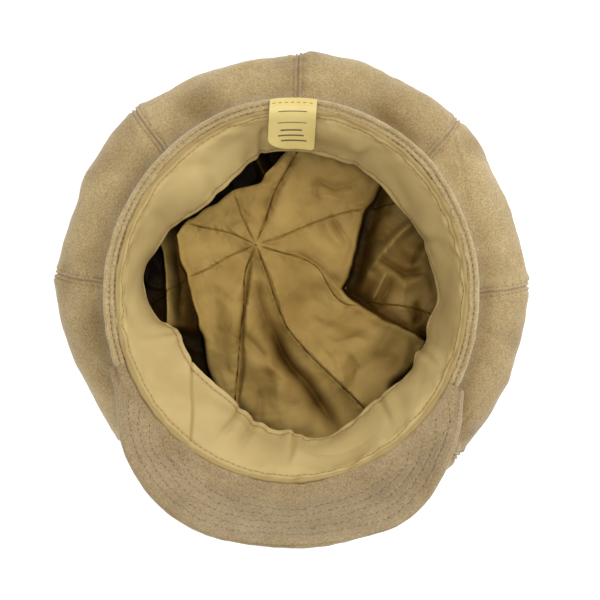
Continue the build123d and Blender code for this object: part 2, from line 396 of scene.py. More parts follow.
def plain(name, colour, rough, metal=0.0):
    """Even finish for thread, print, board and metal."""
    material, nodes, links, shader = new_material(name)
    place = nodes.new("ShaderNodeTexCoord")
    grain = noise(nodes, links, place, 1500.0, 2.0)
    relief(nodes, links, shader, grain, 0.1, 0.0001)
    shader.inputs["Base Color"].default_value = colour
    shader.inputs["Roughness"].default_value = rough
    shader.inputs["Metallic"].default_value = metal
    return material


# ---- crown ----------------------------------------------------------------------
CROWN_PROFILE = [
    (0.0, 1.6, 4.4),
    (0.05, 11.0, 4.3),
    (0.10, 20.0, 2.3),
    (0.16, 30.0, 0.4),
    (0.28, 50.0, 0.0),
    (0.40, 70.0, 0.0),
    (0.50, 88.0, 0.1),
    (0.545, 95.0, 1.6),
    (0.60, 103.6, 6.0),
    (0.66, 111.4, 13.0),
    (0.71, 116.2, 20.0),
    (0.76, 118.6, 28.0),
    (0.80, 118.4, 33.5),
    (0.845, 115.6, 39.0),
    (0.89, 110.4, 43.0),
    (0.93, 104.8, 44.9),
    (0.965, 99.0, 46.4),
    (1.0, 94.8, 50.9),
]
# how far the bulge stands out from a circle, by angle
CROWN_OUTLINE = [
    (5.0, 1.8), (16.0, 1.0), (30.0, -0.8), (41.0, 0.8), (50.0, 3.6), (62.0, 0.0), (76.0, 1.6),
    (92.0, 0.4), (104.0, 0.8), (114.0, 0.4), (126.0, -0.6), (135.0, 1.0), (150.0, -0.4),
    (166.0, -0.4), (180.0, 1.2), (194.0, 0.0), (208.0, -2.6), (222.0, -1.0), (240.0, 0.0),
    (270.0, 0.0), (300.0, 0.0), (318.0, 3.2), (334.0, 1.2), (346.0, 0.2), (356.0, -0.6),
]  # fmt: skip
# soft folds of the crown: (angle, share of the profile, rise, width around in mm, width in share)
CROWN_FOLDS = [
    (150.0, 0.93, -1.6, 16.0, 0.06), (118.0, 0.92, 1.0, 14.0, 0.05), (76.0, 0.93, -1.8, 7.0, 0.07),
    (66.0, 0.90, 1.4, 8.0, 0.07), (163.0, 0.86, 1.2, 12.0, 0.07), (172.0, 0.92, -1.2, 9.0, 0.06),
    (28.0, 0.90, -1.0, 10.0, 0.07), (16.0, 0.86, 0.9, 8.0, 0.08), (352.0, 0.88, -1.6, 7.0, 0.10),
    (343.0, 0.84, 1.2, 8.0, 0.08), (334.0, 0.90, -1.4, 7.0, 0.08), (196.0, 0.86, 1.0, 9.0, 0.08),
    (206.0, 0.92, -1.4, 10.0, 0.08), (104.0, 0.88, -0.8, 8.0, 0.05), (58.0, 0.93, -1.2, 6.0, 0.05),
]  # fmt: skip
CROWN_CLOTH = 1.0
SEAM_STITCH = 2.1


def crown_grid(share, angle):
    """Outside of the crown and its normals, for grids of profile shares and angles."""
    profile = curve(CROWN_PROFILE, share)
    radius, height = profile[..., 0], profile[..., 1]
    upper = smooth(height, 34.0, 51.0)
    oval = rim_radius(angle) / 94.3
    radius = radius * (1.0 + (oval - 1.0) * upper)
    belly = smooth(height, 1.0, 22.0) * (1.0 - smooth(share, 0.86, 1.0))
    radius = radius + 0.8 * belly * curve(CROWN_OUTLINE, angle, 360.0)
    centre_y = CROWN_CENTRE[1] + (RIM_CENTRE[1] - CROWN_CENTRE[1]) * upper
    grid = around((0.0, 0.0), radius, angle, height)
    grid[..., 1] += centre_y
    normal = normals_of(grid, False)
    facing = grid - np.array([*CROWN_CENTRE, 20.0])
    normal = normal * np.where((normal * facing).sum(axis=-1, keepdims=True) < 0, -1.0, 1.0)

    loose = smooth(height, 3.0, 20.0) * (1.0 - 0.7 * smooth(share, 0.93, 1.0))
    lift = 1.0 * ripple(bent(grid, 60.0, 8.0, 3), 58.0, 11) * loose
    lift += 0.28 * ripple(bent(grid, 30.0, 4.0, 5), 20.0, 12) * loose
    lift += 0.07 * ripple(grid, 6.0, 13) * loose
    lift -= 0.7 * creases(grid, 60.0, 21) * loose * smooth(share, 0.74, 0.9)
    for place, centre, rise, wide, tall in CROWN_FOLDS:
        away = np.radians(angle_gap(angle, place + 60.0 * (share - centre))) * radius
        lift += rise * bump(away, wide) * bump(share - centre, tall)
    # gathers where the crown is sewn to the band
    gather = np.sin(np.radians(angle) * 46.0 + 2.5 * ripple(grid, 40.0, 31))
    lift += 0.4 * gather * smooth(share, 0.9, 0.985)
    # seams: the cloth turns in, with a puffed and puckered strip on each side
    gap = np.min([np.abs(angle_gap(angle, s)) for s in SEAM_ANGLES], axis=0)
    gap = np.radians(gap) * radius
    pucker = ripple(grid, 5.5, 41)
    lift -= 1.0 * bump(gap, 0.5)
    lift += 0.4 * bump(gap - 1.1, 0.8) * loose
    lift -= 0.7 * bump(gap - SEAM_STITCH, 0.5)
    lift += 0.4 * bump(gap - 4.5, 2.5) * loose
    lift += 0.32 * pucker * bump(gap - 2.5, 3.2) * loose
    return grid + normal * lift[..., None], normal


# stretches of the crown with painted shade: (angle, half width in degrees, how much darker)
CROWN_SHADES = [(-34.0, 24.0, 0.15), (60.0, 15.0, 0.09), (90.0, 14.0, 0.05), (2.0, 12.0, 0.05)]


def crown_painted_shade(grid, angle):
    """Painted shade: less light in the valley beside the rim, in the lee of the rim and in soft
    folds.
    """
    out = np.hypot(grid[..., 0], grid[..., 1] - RIM_CENTRE[1]) - rim_radius(angle)
    light = 1.0 - 0.2 * bump(out - 1.0, 8.0) * (0.7 + 0.4 * ripple(grid, 60.0, 61))
    for middle, width, amount in CROWN_SHADES:
        light -= amount * bump(angle_gap(angle, middle), width)
    light -= 0.09 * np.maximum(ripple(bent(grid, 50.0, 9.0, 62), 44.0, 65), 0.0)
    return np.clip(light, 0.5, 1.0)


def build_crown(material, thread):
    """Eight crown panels and the two rows of stitches along each of their seams."""
    shares = np.concatenate([np.linspace(0.0, 0.5, 30)[:-1], np.linspace(0.5, 1.0, 100)])
    spread = 0.5 - 0.5 * np.cos(np.linspace(0, math.pi, 76))
    for number in range(8):
        low, high = SEAM_ANGLES[number], SEAM_ANGLES[number + 1]
        share, angle = np.meshgrid(shares, low + (high - low) * spread, indexing="ij")
        grid, normal = crown_grid(share, angle)
        side = sign_towards(grid, 80, 30, normal[80, 30])
        panel = cloth(f"crown_cloth_{number + 1}", grid, CROWN_CLOTH * side, material)
        # painted shade for the crown's material, kept in the mesh
        keep_painted_shade(panel, crown_painted_shade(grid, angle))
        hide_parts(f"crown_panel_{number + 1}")
        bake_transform(panel)

    rows = []
    lengths = np.linspace(0.2, 0.985, 400)
    for seam in SEAM_ANGLES[:-1]:
        for side in (-1.0, 1.0):
            radius = curve(CROWN_PROFILE, lengths)[:, 0]
            middle = seam + side * np.degrees(SEAM_STITCH / radius)
            share = np.repeat(lengths[:, None], 3, axis=1)
            grid, normal = crown_grid(share, middle[:, None] + np.array([-0.15, 0.0, 0.15]))
            path = grid[:, 1]
            path[:, 2] = np.maximum(path[:, 2], THREAD_CLEARANCE)
            rows.append((path, normal[:, 1]))
    thread_rows = stitches("crown_stitches", rows, thread)
    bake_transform(thread_rows)


# ---- rim ------------------------------------------------------------------------
# hem cross-section: (distance in from the rim's outside, height)
HEM_PROFILE = [
    (-0.7, 51.9), (-0.9, 53.4), (-0.3, 56.5), (0.0, 61.0), (0.0, 66.0), (0.0, 69.6), (0.2, 71.2),
    (0.9, 72.3), (1.8, 72.4), (2.5, 71.6), (2.8, 71.2), (3.2, 71.6), (3.9, 72.3), (4.7, 72.4),
    (5.4, 71.8), (5.8, 70.9), (5.5, 69.9), (4.0, 69.4), (2.2, 69.0), (1.4, 67.4), (1.3, 61.0),
    (1.3, 56.0), (0.9, 53.2), (0.4, 51.8), (-0.2, 51.5),
]  # fmt: skip
VISOR_END = 63.0


def closed_profile(rows, count):
    """Smooth closed cross-section with an even spacing."""
    table = np.array(rows + rows[:1], float)
    steps = np.linalg.norm(np.diff(table, axis=0), axis=1)
    place = np.concatenate([[0.0], np.cumsum(steps)])
    rows = [(p, *row) for p, row in zip(place[:-1], table[:-1])]
    return curve(rows, np.linspace(0.0, place[-1], count, endpoint=False), place[-1])


def rim_point(inset, height, angle):
    """Point on the rim: inset is the distance in from the rim's outside."""
    return around(RIM_CENTRE, rim_radius(angle) - inset, angle, height)


def under_visor(angle):
    """1 where the visor covers the hem, 0 elsewhere."""
    return 1.0 - smooth(np.abs(angle_gap(angle, 270.0)), VISOR_END - 3.0, VISOR_END + 3.0)


def hem_grid(angles):
    """Turned hem of the crown cloth around the opening."""
    profile = closed_profile(HEM_PROFILE, 72)
    inset, angle = np.meshgrid(profile[:, 0], angles, indexing="ij")
    height = np.repeat(profile[:, 1][:, None], len(angles), axis=1)
    grid = rim_point(inset, height, angle)
    top = smooth(height, 66.0, 71.5)
    height = height + top * 0.28 * ripple(grid, 9.0, 51)
    height = height + top * 0.5 * ripple(grid, 60.0, 52)
    height = height - top * 1.5 * under_visor(angle)
    wander = 0.35 * ripple(grid, 45.0, 53) + 0.12 * ripple(grid, 8.0, 54)
    return rim_point(inset + wander * top, height, angle)


def build_hem(material, thread):
    """Outer band with its hem, and the row of stitches along the hem."""
    hem = ring("rim_hem", hem_grid(np.linspace(0, 360, 900, endpoint=False)), material)
    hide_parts("outer_band")
    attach(hem, "band")

    angles = np.linspace(270 + VISOR_END + 1, 630 - VISOR_END - 1, 2400)
    rows = []
    for inset in (2.85, 5.2):
        height = 71.55 if inset < 4.0 else 72.05
        path = rim_point(inset, height, angles)
        path[:, 2] += 0.28 * ripple(path, 9.0, 51) + 0.5 * ripple(path, 60.0, 52)
        rows.append((path, np.tile(UP, (len(angles), 1))))
    sewn = stitches("rim_stitches", rows, thread)
    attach(sewn, "band")


def hidden_ring(name, node, body, material, outer, inner, low, high, angles, wrap):
    """Layer between the band and the sweatband; wrap if it goes all the way round."""
    heights = np.linspace(low, high, 14)
    height, angle = np.meshgrid(heights, angles, indexing="ij")
    grid = rim_point(-outer, height, angle)
    grid = rim_point(-outer + 0.03 * ripple(grid, 12.0, 61), height, angle)
    layer = cloth(name, grid, inner - outer, material, wrap=wrap)
    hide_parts(node)
    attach(layer, body)


# ---- sweatband ------------------------------------------------------------------
# free edge of the sweatband: (angle, distance from the opening's centre)
FREE_EDGE = [
    (1.0, 73.0), (14.0, 71.6), (24.0, 71.0), (33.0, 71.0), (45.0, 69.6), (56.0, 71.4),
    (65.0, 72.0), (78.0, 72.6), (96.0, 72.8), (107.0, 72.7), (116.0, 67.4), (126.0, 63.3),
    (138.0, 62.3), (151.0, 68.0), (161.0, 71.0), (170.0, 74.7), (175.0, 75.3), (188.0, 71.0),
    (194.0, 67.4), (199.0, 59.8), (207.0, 59.0), (218.0, 59.0), (227.0, 58.0), (237.0, 58.0),
    (246.0, 60.0), (256.0, 64.6), (261.0, 66.0), (267.0, 68.0), (273.0, 67.3), (279.0, 71.5),
    (286.0, 73.0), (298.0, 70.0), (308.0, 67.0), (322.0, 68.5), (333.0, 70.6), (339.0, 69.0),
    (344.0, 71.4), (350.0, 70.0),
]  # fmt: skip
BAND_WIDTH = 33.0
BAND_START = 8.6
# folded top edge: (share of the way, inset, height), then the slope to the free edge
RIDGE_PROFILE = [
    (0.0, 4.3, 68.6),
    (0.03, 4.7, 70.4),
    (0.06, 5.5, 72.1),
    (0.09, 6.3, 72.8),
    (0.12, 7.2, 72.5),
    (0.15, 7.9, 71.8),
    (0.18, BAND_START, 71.4),
]
BAND_CREASES = [(104.0, 1.3, 1.6), (66.0, 1.0, 2.2), (247.0, 1.3, 1.5), (255.0, 1.1, 1.8),
                (273.0, 1.1, 1.3), (199.0, 1.0, 2.0), (339.0, 1.0, 1.6), (128.0, 0.7, 2.6),
                (312.0, 0.8, 1.8), (24.0, 0.6, 2.4), (153.0, 0.6, 3.0)]  # fmt: skip
JOIN_X = -49.5
JOIN_TURN = 3.5


def band_grid(shares, angles):
    """Sweatband from its folded top edge to its free edge: points, normals and how light each point
    is drawn, as painted shade.
    """
    share, angle = np.meshgrid(shares, angles, indexing="ij")
    top = curve(RIDGE_PROFILE, np.clip(share, 0.0, 0.18))
    edge = curve(FREE_EDGE, angle, 360.0)
    run = rim_radius(angle) - BAND_START - edge
    drop = np.sqrt(np.maximum(BAND_WIDTH**2 - run**2, 64.0))
    down = np.clip((share - 0.18) / 0.82, 0.0, 1.0)
    inset = top[..., 0] + run * down
    height = top[..., 1] - drop * down
    grid = rim_point(inset, height, angle)
    normal = normals_of(grid, False)
    normal = normal * np.where(normal[..., 2:] < 0, -1.0, 1.0)

    middle = np.sin(math.pi * down)
    lift = 1.5 * middle
    lift += 1.0 * ripple(grid, 50.0, 71) * middle
    lift += 0.3 * ripple(bent(grid, 30.0, 3.0, 72), 18.0, 75) * smooth(down, 0.0, 0.2)
    lift -= 0.2 * creases(grid, 60.0, 76, 0.3) * middle
    # painted shade: darker along the folded top edge, with soft uneven shading across the middle
    light = 1.0 - 0.26 * (1.0 - smooth(share, 0.1, 0.2))
    light += 0.05 * ripple(grid, 40.0, 74) * middle
    for place, depth, width in BAND_CREASES:
        away = np.radians(angle_gap(angle, place + 4.0 * (down - 0.5))) * edge
        # painted shade in each crease
        light -= 0.1 * depth * bump(away, width) * smooth(down, 0.3, 0.7)
        lift -= depth * bump(away, width) * smooth(down, 0.15, 0.5)
        lift += 0.5 * depth * bump(away - 2.2 * width, 1.6 * width) * smooth(down, 0.15, 0.5)
    # turned hem along the free edge, and the row of stitches that holds it
    from_edge = (1.0 - down) * BAND_WIDTH
    lift += 0.3 * (1.0 - smooth(from_edge, 2.4, 3.4)) * (down > 0)
    lift -= 0.35 * bump(from_edge - 2.8, 0.5)
    lift += 0.25 * ripple(grid, 7.0, 77) * bump(from_edge - 2.0, 3.0)
    lift -= 0.3 * bump(from_edge - 32.0, 0.5)
    lift += 0.18 * ripple(grid, 6.0, 78) * bump(from_edge - 31.5, 3.0)
    # the strip's ends are joined at the front left
    turn = math.radians(JOIN_TURN)
    across = grid[..., 0] * math.cos(turn) + grid[..., 1] * math.sin(turn) - JOIN_X
    join = (grid[..., 1] < -20.0) * smooth(down, 0.0, 0.05)
    lift -= 0.9 * bump(across, 0.6) * join
    # painted shade along the join's groove
    light -= 0.24 * bump(across, 0.5) * join
    # painted shade in the grooves of the two stitch rows
    light -= 0.3 * bump(from_edge - 2.8, 0.55) + 0.2 * bump(from_edge - 32.0, 0.5)
    lift += 0.25 * bump(across + 1.8, 1.2) * join
    lift += 0.35 * ripple(grid, 10.0, 79) * smooth(share, 0.03, 0.09) * (1 - smooth(down, 0, 0.1))
    return grid + normal * lift[..., None], normal, np.clip(light, 0.2, 1.0)


def build_sweatband(material, thread):
    """Sweatband with its folded top edge, and its rows of stitches."""
    shares = np.concatenate([np.linspace(0.0, 0.2, 22)[:-1], np.linspace(0.2, 1.0, 84)])
    angles = np.linspace(0, 360, 1100, endpoint=False)
    grid, normal, light = band_grid(shares, angles)
    side = sign_towards(grid, 60, 30, normal[60, 30], wrap=True)
    band = cloth("sweatband_cloth", grid, 0.9 * side, material, wrap=True)
    # painted shade for the sweatband's material, kept in the mesh
    keep_painted_shade(band, light)
    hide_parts("sweatband")
    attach(band, "band")

    rows = []
    around_it = np.linspace(0, 360, 2600)
    for from_edge in (2.8, 32.0):
        share = 0.18 + 0.82 * (1.0 - from_edge / BAND_WIDTH)
        path, up, _ = band_grid(np.array([share - 0.002, share, share + 0.002]), around_it)
        rows.append((path[1], up[1]))
    sewn = stitches("sweatband_stitches", rows, thread)
    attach(sewn, "band")


# ---- visor ----------------------------------------------------------------------
# (angle from the front, plus to the right; gap to the rim; reach in plan; rise)
VISOR_SHAPE = [
    (-66.0, 0.6, 0.8, 0.4), (-62.0, 1.2, 1.6, 1.1), (-55.0, 2.0, 3.6, 4.6),
    (-45.0, 2.8, 10.4, 13.6), (-35.0, 3.0, 15.6, 22.4), (-23.0, 3.0, 18.8, 30.2),
    (-11.0, 3.0, 18.4, 35.0), (0.0, 3.0, 17.4, 36.0), (9.0, 3.0, 17.6, 35.2),
    (18.0, 3.0, 18.2, 32.6), (29.0, 3.0, 20.6, 27.4), (38.0, 3.0, 17.6, 20.6),
    (46.0, 3.0, 12.6, 13.4), (54.0, 2.8, 7.8, 7.0), (61.0, 1.8, 3.2, 2.4), (66.0, 0.6, 0.8, 0.4),
]  # fmt: skip
VISOR_ROWS = (5.2, 11.2, 17.2, 23.2, 29.2)
VISOR_ROOT = 70.0


def visor_lines(angle):
    """Root radius, slope direction and length of the visor at angles from the front."""
    shape = curve(VISOR_SHAPE, angle)
    gap, reach, rise = shape[..., 0], shape[..., 1], shape[..., 2]
    length = np.hypot(reach, rise)
    root = rim_radius(angle + 270.0) + gap
    return root, reach / length, rise / length, length


def visor_face(along, angle, offset):
    """Points on the visor at a distance along it from the root and off its middle layer."""
    root, flat, up, _ = visor_lines(angle)
    radius = root + flat * along - up * offset
    height = VISOR_ROOT + up * along + flat * offset
    return radius, height


# the under cloth's shares: over the hem up to the first, on the slope, then turned at the edge
SLOPE_START = 0.25
SLOPE_SHARE = 0.72
EDGE_TURN = 0.97


def slope_start(length):
    """Distance from the root at which the under cloth reaches the visor's slope."""
    return np.minimum(5.5, 0.55 * length)


def visor_under(share, angle):
    """Seen face of the visor: tucked beside the sweatband's ridge, over the hem, up to the edge."""
    _, _, _, length = visor_lines(angle)
    rim = rim_radius(angle + 270.0)
    first = slope_start(length)
    slope = np.clip((share - SLOPE_START) / SLOPE_SHARE, 0.0, 1.0)
    along = first + (length - first) * slope
    face_radius, face_height = visor_face(along, angle, 1.75)
    edge_radius, edge_height = visor_face(length + 0.7, angle, 0.5)
    turned = smooth(share, EDGE_TURN, 1.0)
    face_radius = face_radius + (edge_radius - face_radius) * turned
    face_height = face_height + (edge_height - face_height) * turned
    start_radius, start_height = visor_face(first, angle, 1.75)
    t = np.clip(share / SLOPE_START, 0.0, 1.0)
    hem = curve([(0.0, -5.5, 71.0), (0.2, -4.7, 72.2), (0.45, -2.6, 72.8), (0.72, 0.2, 73.0),
                 (1.0, 2.0, 73.6)], t)  # fmt: skip
    join = smooth(t, 0.55, 1.0)
    hem_radius = rim + hem[..., 0] + (start_radius - rim - 2.0) * join
    hem_height = hem[..., 1] + (start_height - 73.6) * join
    on_slope = share >= SLOPE_START
    radius = np.where(on_slope, face_radius, hem_radius)
    height = np.where(on_slope, face_height, hem_height)
    grid = around(RIM_CENTRE, radius, angle + 270.0, height)
    normal = normals_of(grid, False)
    normal = normal * np.where(normal[..., 2:] < 0, -1.0, 1.0)
    from_edge = length - along
    wide = smooth(length, 3.0, 14.0)
    lift = (0.55 + 0.4 * ripple(bent(grid, 40.0, 5.0, 81), 34.0, 84)) * wide
    lift = np.maximum(lift, 0.1)
    lift += 0.10 * ripple(grid, 9.0, 85) * wide
    lift += 0.06 * ripple(grid, 4.0, 88) * wide
    for row in VISOR_ROWS:
        there = smooth(along - first, 0.0, 1.5) * on_slope
        lift -= 0.62 * bump(from_edge - row, 0.7) * there
        lift += 0.26 * ripple(grid, 4.5, 86) * bump(from_edge - row, 2.0) * there
    lift -= 0.3 * bump(share - 0.955, 0.012) * wide
    return grid + normal * lift[..., None], normal


def visor_layers(shares, angles, near, far, low, high):
    """Plain layer of the visor between two offsets, from its root to near its edge."""
    share, angle = np.meshgrid(shares, angles, indexing="ij")
    _, _, _, length = visor_lines(angle)
    radius, height = visor_face(low + (length + high - low) * share, angle, near)
    return around(RIM_CENTRE, radius, angle + 270.0, height), far - near


def build_visor(material, thread, board_material):
    """Visor cloths, board and stitches; they bend out of the band at their root."""
    angles = np.linspace(-64.5, 64.5, 420)
    share, angle = np.meshgrid(np.linspace(0.0, 1.0, 130), angles, indexing="ij")
    grid, normal = visor_under(share, angle)
    side = sign_towards(grid, 60, 200, normal[60, 200])
    under = cloth("visor_under_cloth", grid, 0.8 * side, material)
    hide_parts("visor_under_cover", "visor_seam")
    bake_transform(under)

    # top cloth: up the crown's side and turned over the visor's edge
    _, _, _, length = visor_lines(angles)
    path = [(0.0, -1.0), (0.3, -1.6)]
    turned = [(-0.8, -1.75), (0.3, -1.5), (0.95, -0.6), (1.05, 0.3), (0.8, 0.9), (0.2, 1.3)]
    steps = np.linspace(0.0, 1.0, 40)
    rows = []
    for along, offset in path:
        rows.append(visor_face(along, angles, offset))
    for step in steps[1:-1]:
        rows.append(visor_face(0.3 + (length - 1.1) * step, angles, -1.75))
    for beyond, offset in turned:
        rows.append(visor_face(length + beyond, angles, offset))
    grid = np.stack([around(RIM_CENTRE, r, angles + 270.0, h) for r, h in rows])
    normal = normals_of(grid, False)
    wavy = 0.4 * ripple(grid, 36.0, 91) + 0.12 * ripple(grid, 7.0, 92)
    ends = np.minimum(np.arange(len(rows)) / 6.0, 1.0)[:, None]
    grid = grid + normal * (wavy * ends * 0.6)[..., None]
    down = sign_towards(grid, 20, 200, DOWN)
    top = cloth("visor_top_cloth", grid, 0.7 * down, material)
    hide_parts("visor_top_cover")
    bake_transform(top)

    inner = np.linspace(-60.0, 60.0, 160)
    grid, thick = visor_layers(np.linspace(0, 1, 24), inner, 0.4, -0.6, 0.6, -1.4)
    up = sign_towards(grid, 12, 80, UP)
    board = cloth("visor_board_sheet", grid, -thick * up, board_material)
    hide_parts("visor_board")
    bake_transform(board)

    rows = []
    fine = np.linspace(-62.0, 62.0, 1500)
    for row in VISOR_ROWS:
        _, _, _, length = visor_lines(fine)
        first = slope_start(length)
        along = length - row
        slope = SLOPE_START + SLOPE_SHARE * (along - first) / (length - first)
        share = np.where(along > first, slope, SLOPE_START * (0.55 + 0.45 * along / first))
        kept = along > 0.0
        part = share[kept][:, None] + np.array([-0.01, 0.0, 0.01])
        turn = np.repeat(fine[kept][:, None], 3, axis=1)
        grid, normal = visor_under(part, turn)
        rows.append((grid[:, 1], normal[:, 1]))
    sewn = stitches("visor_stitches", rows, thread)
    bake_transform(sewn)


# ---- lining ---------------------------------------------------------------------
# seam courses about the lining's apex: (distance, angle)
LINING_SEAMS = [
    [(0.0, 22.5), (12.0, 22.5), (25.0, 24.5), (45.0, 24.0), (60.0, 22.0), (120.0, 22.0)],
    [(0.0, 72.0), (12.0, 72.0), (25.0, 74.0), (40.0, 71.0), (60.0, 69.0), (120.0, 69.0)],
    [(0.0, 120.0), (12.0, 120.0), (25.0, 117.0), (40.0, 116.0), (120.0, 117.0)],
    [(0.0, 158.0), (12.0, 158.0), (25.0, 164.0), (40.0, 167.0), (60.0, 169.0), (120.0, 170.0)],
    [(0.0, 206.0), (12.0, 206.0), (25.0, 209.5), (40.0, 209.5), (60.0, 212.0), (120.0, 213.0)],
    [(0.0, 251.0), (12.0, 251.0), (25.0, 260.0), (50.0, 264.0), (80.0, 265.6), (120.0, 266.0)],
    [(0.0, 295.0), (12.0, 295.0), (25.0, 293.5), (40.0, 293.5), (60.0, 299.0), (80.0, 304.0),
     (100.0, 307.0), (120.0, 308.0)],
    [(0.0, 347.0), (12.0, 347.0), (25.0, 347.0), (35.0, 342.0), (40.0, 336.0), (57.0, 331.0),
     (64.0, 336.0), (76.0, 340.0), (120.0, 342.0)],
]  # fmt: skip
# how dark each of these seams is drawn: partly the seam's own darker line, partly painted shade in
# its groove; those that lie in a fold get the most painted shade
SEAM_LINE_AND_SHADE = (0.3, 0.5, 0.3, 0.38, 0.36, 0.66, 0.62, 0.5)
LINING_FLOOR_RADIUS = 97.0
# share of a panel that is spread over the floor; the rest goes up the wall
LINING_SPREAD = 0.76
# wall from the bunched cloth up to the band: (share, radius, height)
LINING_WALL = [
    (0.0, 97.0, 8.0), (0.25, 103.0, 16.0), (0.5, 105.0, 25.0), (0.72, 101.5, 33.5),
    (0.88, 94.5, 41.0), (1.0, 89.4, 52.0),
]  # fmt: skip

# outline of the cloth that stands up towards the opening
PLATEAU = [
    (-60.0, 27.0), (-57.0, 16.0), (-54.0, 7.0), (-51.0, -4.0), (-48.0, -13.0), (-44.0, -25.0),
    (-41.0, -37.0), (-37.0, -48.0), (-30.0, -64.0), (-10.0, -76.0), (16.0, -77.0),
    (40.0, -68.0), (58.0, -48.0), (67.0, -28.0), (70.0, -19.0), (60.0, -15.0), (50.0, -10.0),
    (42.0, -7.0), (31.0, -1.0), (24.0, 5.0), (28.0, 11.0), (30.0, 18.0), (31.0, 26.0),
    (32.0, 34.0), (34.0, 43.0), (37.0, 50.0), (41.0, 59.0), (44.0, 72.0), (30.0, 84.0),
    (4.0, 86.0), (-6.0, 76.0), (-8.0, 72.0), (-14.0, 64.0), (-20.0, 57.0), (-31.0, 52.0),
    (-37.0, 48.0), (-43.0, 44.0), (-47.0, 41.0), (-56.0, 36.0),
]  # fmt: skip
